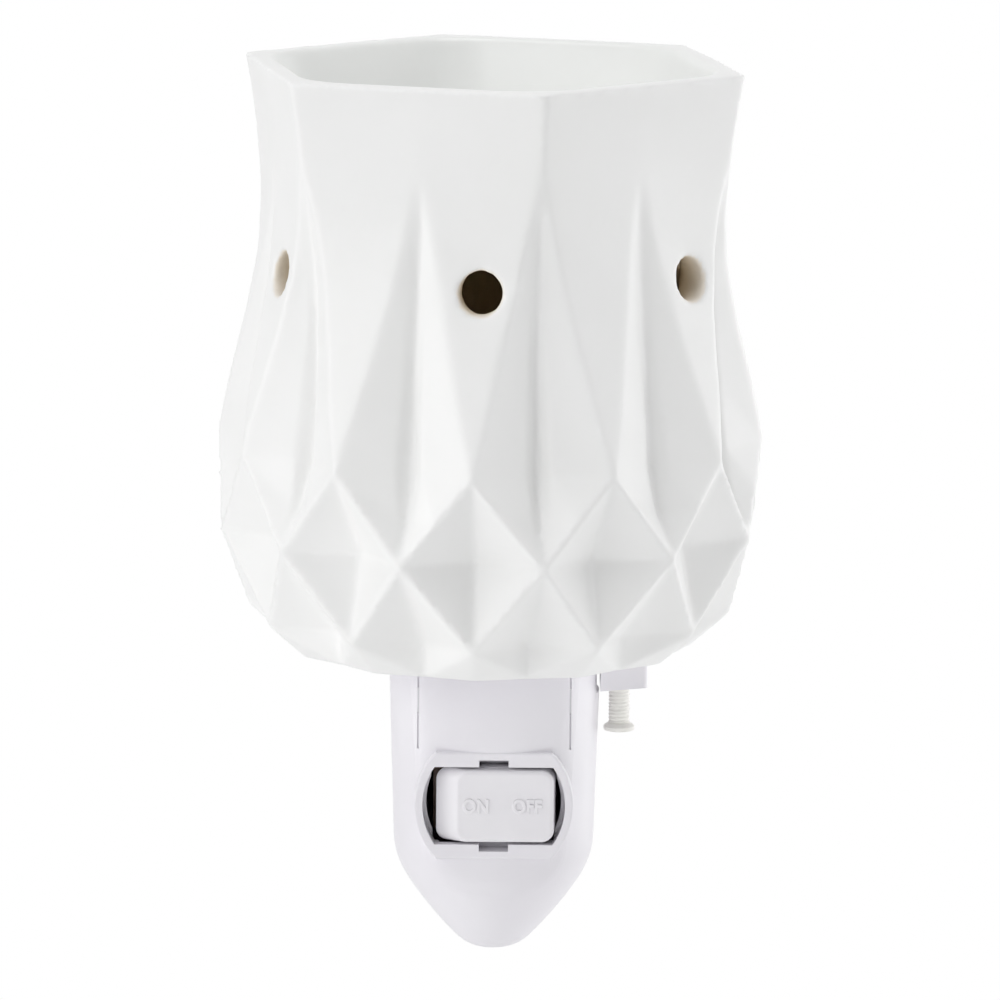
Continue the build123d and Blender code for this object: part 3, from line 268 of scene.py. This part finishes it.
def lamp_glass_material():
    material, tree, bsdf = shader("lamp_glass")
    tree.links.new(blend_colour(tree, noise(tree, 50), (0.96, 0.97, 0.965), (0.985, 0.99, 0.985)),
                   bsdf.inputs["Base Color"])
    tree.links.new(spread(tree, noise(tree, 90), 0.01, 0.05), bsdf.inputs["Roughness"])
    bsdf.inputs["Transmission Weight"].default_value = 1.0
    bsdf.inputs["IOR"].default_value = 1.46
    bumps(tree, bsdf, [(noise(tree, 60, 1.0), 0.00003)])
    return material


lamp_glass = lamp_glass_material()

node_materials = {
    "shade": ceramic_material, "housing_front": front_plastic, "housing_rear": base_plastic,
    "shade_seat": base_plastic, "swivel_ring": plug_plastic, "switch_rocker": rocker_plastic, "plug_body": plug_plastic,
    "brush_board": inner_plastic, "switch_base": brown_mould, "switch_plunger": inner_plastic,
    "nylon_screw": nylon, "housing_screws": zinc_steel, "seat_screws": zinc_steel, "switch_screws": zinc_steel,
    "switch_spring": zinc_steel, "line_blade": blade_metal, "neutral_blade": blade_metal,
    "line_brush": contact_brass, "neutral_brush": contact_brass, "centre_terminal": contact_brass,
    "end_terminal": contact_brass, "switch_seesaw": contact_brass, "socket_contact": contact_brass,
    "socket_shell": contact_brass, "socket_body": socket_mould, "bulb_glass": lamp_glass, "bulb_stem": lamp_glass,
    "bulb_cap": lamp_cap_metal, "bulb_insulator": black_glass, "bulb_tip": solder, "bulb_filament": tungsten,
    "line_wire": black_sleeve, "switched_wire": black_sleeve, "neutral_wire": white_sleeve,
}
for name, material in node_materials.items():
    nodes[name].material_slots[0].material = material


# Mesh helpers
def new_piece(name, mesh, material, body):
    """Puts the mesh into the scene in one material, riding on a body."""
    piece = bpy.data.objects.new(name, mesh)
    bpy.context.collection.objects.link(piece)
    mesh.materials.clear()
    mesh.materials.append(material)
    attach(piece, body)
    return piece


def from_bmesh(bm, name):
    mesh = bpy.data.meshes.new(name)
    bm.to_mesh(mesh)
    bm.free()
    return mesh


def applied(data, prepare=None):
    """The mesh that a passing object with this mesh or curve gives, after the modifiers that prepare adds to it."""
    passing = bpy.data.objects.new("passing", data)
    bpy.context.collection.objects.link(passing)
    if prepare:
        prepare(passing)
    bpy.context.view_layer.update()
    result = bpy.data.meshes.new_from_object(passing.evaluated_get(bpy.context.evaluated_depsgraph_get()))
    bpy.data.objects.remove(passing)
    return result


def smooth_shaded(mesh):
    mesh.polygons.foreach_set("use_smooth", [True] * len(mesh.polygons))
    mesh.update()


def smooth_by_angle(mesh, angle):
    smooth_shaded(mesh)
    mesh.set_sharp_from_angle(angle=radians(angle))


def linear(values, low, high):
    """0 below low, 1 above high and a straight rise between."""
    return np.clip((values - low) / (high - low), 0, 1)


def eased(values, low, high):
    """0 below low, 1 above high and a smooth step between."""
    share = linear(values, low, high)
    return share * share * (3 - 2 * share)


def relax(mesh, rounds, weight=None, steps=(0.5,), upright=False):
    """Rounds off edges by moving each vertex towards the middle of its neighbours, all or those above and below.
    A second step, back and a little longer, keeps the size. Nothing passes the box that the mesh filled."""
    count = len(mesh.vertices)
    places = np.empty(count * 3)
    mesh.vertices.foreach_get("co", places)
    places = places.reshape(-1, 3)
    edges = np.empty(len(mesh.edges) * 2, dtype=np.int64)
    mesh.edges.foreach_get("vertices", edges)
    edges = edges.reshape(-1, 2)
    if upright:
        along = np.abs(places[edges[:, 1]] - places[edges[:, 0]])
        edges = edges[along[:, 2] > 0.7 * np.linalg.norm(along, axis=1)]
    low, high = places.min(axis=0), places.max(axis=0)
    degree = np.maximum(np.bincount(edges.ravel(), minlength=count), 1)[:, None]
    share = 1.0 if weight is None else weight(places)[:, None]
    for step in steps * rounds:
        total = np.zeros_like(places)
        for axis in range(3):
            total[:, axis] = (np.bincount(edges[:, 0], places[edges[:, 1], axis], count)
                              + np.bincount(edges[:, 1], places[edges[:, 0], axis], count))
        places += step * share * (total - degree * places) / degree
    mesh.vertices.foreach_set("co", np.clip(places, low, high).ravel())
    mesh.update()


# Glazed shade: rounding steps that keep its size, and the zones, in metres, that get their own rounding and masks
KEEPING = (0.5, -0.52)
VOXEL = 0.00055
LIP = (RIM - 0.0045, RIM - 0.0020)
GROOVE_FOOT = (0.066, 0.078)
GROOVE_HEAD = (0.1135, 0.1165)
GROOVE_RADIUS = (0.0342, 0.0350)
CHAMBER_RADIUS = 0.034
CHAMBER_TOP = BOWL_FLOOR - 0.012
BOWL_RADIUS = 0.030
CLAY_TO_GLAZE = (0.0335, 0.0390)


def welded_copy(node):
    bm = bmesh.new()
    bm.from_mesh(nodes[node].data)
    bmesh.ops.remove_doubles(bm, verts=bm.verts, dist=1e-6)
    return from_bmesh(bm, node + "_copy")


def even_voxels(piece):
    remesh = piece.modifiers.new("even", "REMESH")
    remesh.mode = "VOXEL"
    remesh.voxel_size = VOXEL
    remesh.adaptivity = 0.0


def lip_weight(places):
    """The rim's lip, which the glaze rounds the most."""
    return linear(places[:, 2], *LIP)


def vent_spot(places, vent):
    """One vent's direction, and how far the points lie along its axis and from it."""
    turn = radians(VENT_TURN + 360 / VENT_COUNT * vent)
    direction = np.array([sin(turn), -cos(turn), 0.0])
    centre = np.array(SHADE) + np.array([0, 0, VENT_HEIGHT])
    along = (places - centre) @ direction
    return direction, along, np.linalg.norm(places - centre - along[:, None] * direction, axis=1)


def grooved_weight(places):
    """The outside of the grooves, clear of the vents, the bowl and the rim."""
    radius = np.hypot(places[:, 0] - SHADE.x, places[:, 1] - SHADE.y)
    weight = linear(places[:, 2], *GROOVE_FOOT) * (1 - linear(places[:, 2], *GROOVE_HEAD))
    weight *= linear(radius, *GROOVE_RADIUS)
    for vent in range(VENT_COUNT):
        direction, along, away = vent_spot(places, vent)
        weight *= np.where(along > VENT_WALL, linear(away, VENT_RADIUS + 0.0012, VENT_RADIUS + 0.0032), 1)
    return weight


def slipped_vents(places, normals):
    """Moves the vents a little aside and down along the outer face, and their inner ends further aside."""
    aside, down = VENT_SLIP
    moved = places.copy()
    for vent in range(VENT_COUNT):
        direction, along, away = vent_spot(places, vent)
        sideways = np.array([-direction[1], direction[0], 0.0])
        around = (along > VENT_OUTSIDE) & (away > VENT_RADIUS + 0.0015) & (away < 0.007)
        face = normals[around].mean(axis=0)
        face /= np.linalg.norm(face)
        slip = aside * sideways + np.array([0.0, 0.0, down])
        slip -= face * (slip @ face)
        outer = along[(along > VENT_WALL) & (away < VENT_RADIUS + 0.0015)].max()
        share = (along > VENT_WALL) * (1 - eased(away, VENT_RADIUS + 0.0008, 0.0085))
        deep = np.clip(outer - along, 0, 0.006)
        moved += share[:, None] * (slip + VENT_SKEW * deep[:, None] * sideways)
    return moved


def point_mask(mesh, name, values):
    mesh.attributes.new(name, "FLOAT", "POINT").data.foreach_set("value", values.astype(np.float32))


def shade_masks(places, normals):
    """Where the clay is bare (chamber and vents) and where the bowl's smoother glaze lies, from 0 to 1 each."""
    height = places[:, 2]
    radius = np.hypot(places[:, 0], places[:, 1])
    outward = (places[:, 0] * normals[:, 0] + places[:, 1] * normals[:, 1]) / np.maximum(radius, 1e-6)
    inside = eased(-outward, -0.05, 0.35)
    ceiling = (radius < CHAMBER_RADIUS) * (height > CHAMBER_TOP) * eased(-normals[:, 2], 0.0, 0.3)
    above_floor = eased(height, BOWL_FLOOR - 0.003, BOWL_FLOOR - 0.001)
    chamber = (1 - above_floor) * np.maximum(inside, ceiling) * eased(height, SEAT + 0.001, SEAT + 0.003)
    floor = (radius < BOWL_RADIUS) * eased(normals[:, 2], 0.0, 0.3)
    bowl = above_floor * np.maximum(inside, floor)
    for vent in range(VENT_COUNT):
        direction, along, away = vent_spot(places + np.array(SHADE), vent)
        wall = (along > VENT_WALL) * eased(VENT_RADIUS + 0.0006 - away, 0.0, 0.0005)
        wall *= eased(0.85 - np.abs(normals @ direction), 0.0, 0.3)
        chamber = np.maximum(chamber, wall * (0.95 - 0.65 * eased(along, *CLAY_TO_GLAZE)))
    return chamber, bowl


def glazed_shade():
    """The shade with its edges rounded as a glaze rounds them, masks for its material and slipped vents."""
    mesh = applied(welded_copy("shade"), even_voxels)
    relax(mesh, 8, steps=KEEPING)
    relax(mesh, 2)
    relax(mesh, 20, grooved_weight, upright=True)
    relax(mesh, 2, grooved_weight)
    relax(mesh, 30, lip_weight, steps=KEEPING)
    relax(mesh, 5, lip_weight)
    smooth_shaded(mesh)
    places = np.empty(len(mesh.vertices) * 3)
    normals = np.empty(len(mesh.vertices) * 3)
    mesh.vertices.foreach_get("co", places)
    mesh.vertex_normals.foreach_get("vector", normals)
    places = places.reshape(-1, 3) - np.array(SHADE)
    normals = normals.reshape(-1, 3)
    bare, bowl = shade_masks(places, normals)
    point_mask(mesh, "bare", bare)
    point_mask(mesh, "bowl", bowl)
    mesh.vertices.foreach_set("co", slipped_vents(places + np.array(SHADE), normals).ravel())
    mesh.update()
    piece = new_piece("shade_glazed", mesh, ceramic_material, "shade")
    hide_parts("shade")


glazed_shade()


# Nylon screw with its thread
def threaded_rod(bm, centre, low, high, root, crest, pitch, sides=36, per_pitch=8):
    """A helical thread as rings of points: the crest, with its flat top, runs round once in each pitch."""
    flank, flat = 2.6, 1.35
    run_out = 0.8 * pitch
    rings = int((high - low) / pitch * per_pitch)
    previous = None
    for ring in range(rings + 1):
        height = low + (high - low) * ring / rings
        fade = max(0.0, min(1.0, (high - height) / run_out))
        row = []
        for side in range(sides):
            turn = 2 * pi * side / sides
            phase = (height / pitch - side / sides) % 1.0
            wave = max(0.0, 1.0 - abs(phase - 0.5) * flank)
            radius = root + (crest - root) * min(1.0, wave * flat) * fade
            row.append(bm.verts.new((centre.x + radius * cos(turn), centre.y + radius * sin(turn), height)))
        if previous:
            for side in range(sides):
                after = (side + 1) % sides
                bm.faces.new((previous[side], previous[after], row[after], row[side]))
        else:
            bm.faces.new(list(reversed(row)))
        previous = row
    bm.faces.new(previous)


def lathe(bm, centre, profile, sides=48):
    """A closed round form from (radius, height) points, first and last on the axis."""
    rows = []
    for radius, height in profile:
        if radius == 0:
            rows.append([bm.verts.new((centre.x, centre.y, height))])
        else:
            rows.append([bm.verts.new((centre.x + radius * cos(2 * pi * side / sides),
                                       centre.y + radius * sin(2 * pi * side / sides), height))
                         for side in range(sides)])
    for low, high in zip(rows, rows[1:]):
        for side in range(sides):
            after = (side + 1) % sides
            corners = [low[side % len(low)], low[after % len(low)], high[after % len(high)], high[side % len(high)]]
            unique = list(dict.fromkeys(corners))
            if len(unique) > 2:
                bm.faces.new(unique)


def threaded_nylon_screw():
    """The nylon screw with its thread cut, a rounded head and the slot across it."""
    slot_width, slot_depth = 0.0007, 0.0007
    low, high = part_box("nylon_screw")
    centre = (low + high) / 2
    head_radius = (high.x - low.x) / 2
    rod = bmesh.new()
    threaded_rod(rod, centre, low.z + 0.0010, high.z, root=0.00162, crest=0.00175, pitch=0.0006)
    head = bmesh.new()
    lathe(head, centre, [(0, low.z), (head_radius - 0.0003, low.z), (head_radius - 0.00008, low.z + 0.00008),
                         (head_radius, low.z + 0.0003), (head_radius, low.z + 0.0007),
                         (head_radius - 0.0002, low.z + 0.0009), (0.0018, low.z + 0.0013), (0, low.z + 0.0013)])
    cutter = bmesh.new()
    bmesh.ops.create_cube(cutter, size=1.0, matrix=Matrix.Translation((centre.x, centre.y, low.z))
                          @ Matrix.Diagonal((4 * head_radius, slot_width, 2 * slot_depth, 1)))
    cutter_piece = bpy.data.objects.new("slot_cutter", from_bmesh(cutter, "slot_cutter"))
    bpy.context.collection.objects.link(cutter_piece)

    def prepare(piece):
        slot = piece.modifiers.new("slot", "BOOLEAN")
        slot.operation = "DIFFERENCE"
        slot.solver = "EXACT"
        slot.object = cutter_piece

    rod.from_mesh(applied(from_bmesh(head, "nylon_head"), prepare))
    bpy.data.objects.remove(cutter_piece)
    bmesh.ops.recalc_face_normals(rod, faces=rod.faces)
    mesh = from_bmesh(rod, "nylon_screw_threaded")
    piece = new_piece("nylon_screw_threaded", mesh, nylon, "nylon_screw")
    smooth_by_angle(mesh, 40)
    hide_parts("nylon_screw")


threaded_nylon_screw()


# Raised words on the rocker
WORD_SIZE = 0.0031
WORD_WIDTH = 0.86
WORD_LIFT = 0.00003


def raised_word(text, across, name):
    curve = bpy.data.curves.new(name, "FONT")
    curve.body = text
    curve.size = WORD_SIZE
    curve.align_x = "CENTER"
    curve.align_y = "CENTER"
    curve.extrude = 0.00014
    curve.offset = 0.00006
    curve.bevel_depth = 0.00008
    curve.bevel_resolution = 3
    curve.space_character = 1.06
    mesh = applied(curve)
    place = Matrix.Translation((across, ROCKER_FACE - WORD_LIFT, SWITCH_HEIGHT))
    mesh.transform(place @ Matrix.Rotation(pi / 2, 4, "X") @ Matrix.Diagonal((WORD_WIDTH, 1, 1, 1)))
    smooth_by_angle(mesh, 35)
    new_piece(name, mesh, rocker_plastic, "rocker")


raised_word("ON", -0.0029, "word_on")
raised_word("OFF", 0.0055, "word_off")


# Floor, light and camera
def straight_rays(tree):
    """1 for rays from the camera and those seen in or through a piece, which meet plain white, else 0."""
    rays = add_node(tree, "ShaderNodeLightPath")
    either = add_node(tree, "ShaderNodeMath", operation="MAXIMUM")
    tree.links.new(rays.outputs["Is Camera Ray"], either.inputs[0])
    tree.links.new(rays.outputs["Is Glossy Ray"], either.inputs[1])
    every = add_node(tree, "ShaderNodeMath", operation="MAXIMUM")
    tree.links.new(either.outputs["Value"], every.inputs[0])
    tree.links.new(rays.outputs["Is Transmission Ray"], every.inputs[1])
    return every.outputs["Value"]


def stage_floor():
    """A pale floor that catches the shadow and fades to white away from the part."""
    bm = bmesh.new()
    bmesh.ops.create_circle(bm, cap_ends=True, segments=96, radius=FLOOR_RADIUS, matrix=Matrix.Translation(FLOOR))
    mesh = from_bmesh(bm, "floor")
    floor = bpy.data.objects.new("floor", mesh)
    bpy.context.collection.objects.link(floor)
    material, tree, bsdf = shader("floor_paint")
    bsdf.inputs["Roughness"].default_value = 0.9
    bsdf.inputs["Specular IOR Level"].default_value = 0.1
    paint = blend_colour(tree, noise(tree, 4), (0.90, 0.90, 0.90), (0.93, 0.93, 0.93))
    tree.links.new(paint, bsdf.inputs["Base Color"])
    where = add_node(tree, "ShaderNodeTexCoord")
    length = add_node(tree, "ShaderNodeVectorMath", operation="DISTANCE")
    length.inputs[1].default_value = FLOOR
    tree.links.new(where.outputs["Object"], length.inputs[0])
    fade = add_node(tree, "ShaderNodeMapRange", interpolation_type="SMOOTHSTEP")
    fade.inputs["From Min"].default_value = 0.25
    fade.inputs["From Max"].default_value = 1.2
    tree.links.new(length.outputs["Value"], fade.inputs["Value"])
    amount = product(tree, straight_rays(tree), fade.outputs["Result"])
    white = add_node(tree, "ShaderNodeEmission")
    white.inputs["Color"].default_value = (1, 1, 1, 1)
    mix = add_node(tree, "ShaderNodeMixShader")
    tree.links.new(amount, mix.inputs["Fac"])
    tree.links.new(bsdf.outputs["BSDF"], mix.inputs[1])
    tree.links.new(white.outputs["Emission"], mix.inputs[2])
    tree.links.new(mix.outputs["Shader"], tree.nodes["Material Output"].inputs["Surface"])
    mesh.materials.append(material)


def lamp(name, place, size, watts):
    light = bpy.data.lights.new(name, "AREA")
    light.shape = "DISK"
    light.size = size
    light.energy = watts
    piece = bpy.data.objects.new(name, light)
    bpy.context.collection.objects.link(piece)
    piece.location = place
    piece.rotation_euler = (LAMP_TARGET - Vector(place)).to_track_quat("-Z", "Y").to_euler()
    piece.visible_camera = False


def room():
    """Even soft light all round, seen as plain white."""
    world = bpy.data.worlds.new("room")
    bpy.context.scene.world = world
    world.use_nodes = True
    tree = world.node_tree
    tree.nodes.clear()
    output = add_node(tree, "ShaderNodeOutputWorld")
    around = add_node(tree, "ShaderNodeBackground", Strength=0.245)
    seen = add_node(tree, "ShaderNodeBackground", Strength=1.0)
    around.inputs["Color"].default_value = (0.98, 0.99, 1.0, 1)
    seen.inputs["Color"].default_value = (1, 1, 1, 1)
    mix = add_node(tree, "ShaderNodeMixShader")
    tree.links.new(straight_rays(tree), mix.inputs["Fac"])
    tree.links.new(around.outputs["Background"], mix.inputs[1])
    tree.links.new(seen.outputs["Background"], mix.inputs[2])
    tree.links.new(mix.outputs["Shader"], output.inputs["Surface"])


LAMP_TARGET = Vector((0.0, -0.05, 0.05))
# Name, place, size and power in watts of each lamp
STUDIO_LAMPS = (
    ("left", (-1.4, -0.30, 0.10), 1.2, 6.6),
    ("front_left", (-1.0, -1.15, 0.70), 1.0, 6.4),
    ("right", (1.4, -0.30, 0.10), 1.2, 5.0),
    ("back_right", (1.2, 0.55, 0.10), 1.2, 6.5),
    ("top", (0.0, -0.15, 1.5), 1.2, 10.8),
    ("below", (0.0, -0.55, -0.37), 0.6, 1.35),
)

stage_floor()
room()
for name, place, size, watts in STUDIO_LAMPS:
    lamp(name, place, size, watts)

CAMERA_TARGET = Vector((0.00065, -0.050, 0.05084))
CAMERA_DISTANCE = 1.2
CAMERA_ELEVATION = radians(10.16)
CAMERA_ROLL = radians(0.45)
view = bpy.data.cameras.new("view")
view.lens = 262.17
view.sensor_width = 36.0
view.clip_end = 20.0
camera = bpy.data.objects.new("view", view)
bpy.context.collection.objects.link(camera)
away = Vector((0.0, -cos(CAMERA_ELEVATION), sin(CAMERA_ELEVATION)))
camera.location = CAMERA_TARGET + away * CAMERA_DISTANCE
camera.rotation_mode = "QUATERNION"
look = (-away).to_track_quat("-Z", "Y")
camera.rotation_quaternion = look @ Matrix.Rotation(CAMERA_ROLL, 3, "Z").to_quaternion()
bpy.context.scene.camera = camera
bpy.context.scene.view_settings.view_transform = "Standard"
